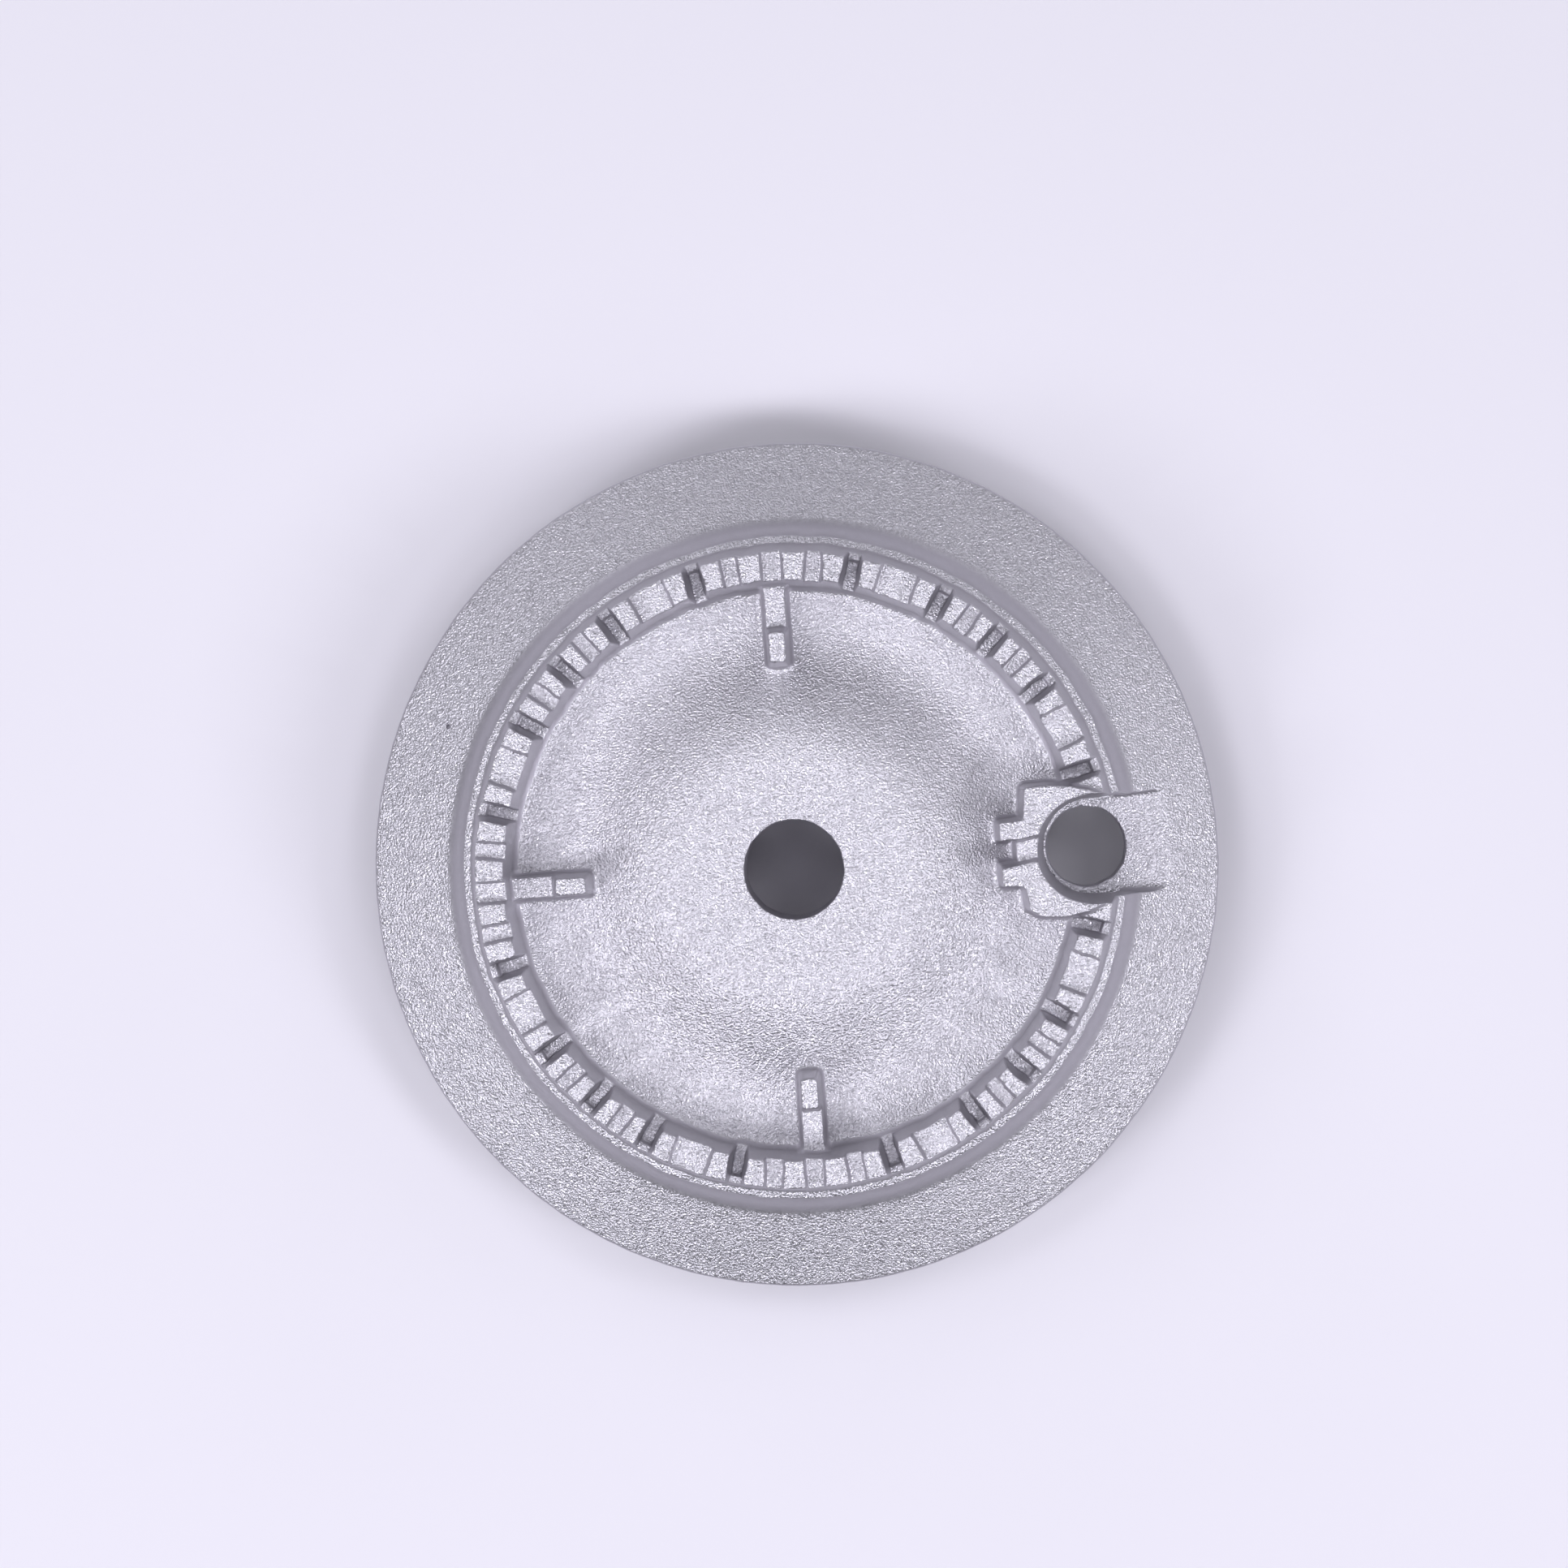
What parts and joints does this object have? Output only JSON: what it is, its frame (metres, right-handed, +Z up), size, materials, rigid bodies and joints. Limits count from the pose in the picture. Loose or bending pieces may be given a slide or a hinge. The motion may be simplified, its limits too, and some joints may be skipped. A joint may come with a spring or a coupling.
{
  "type": "gas hob burner head",
  "caption": "Round die-cast burner head with a sloping flange, a toothed flame-port ring, a dished bowl with a central gas bore, three cap ribs and a notch for the ignition electrode.",
  "frame": {"origin": "on the burner axis, at the plane of the locating ring's lower edge", "axes": "+Z up along the burner axis, +X from the axis towards the ignition electrode hole"},
  "size_m": [0.0962, 0.0962, 0.024],
  "materials": {
    "cast_aluminium": "shot-blasted die casting, satin silver-grey with fine sparkle"
  },
  "bodies": {
    "root": {"burner_head": "cast_aluminium"}
  },
  "joints": []
}
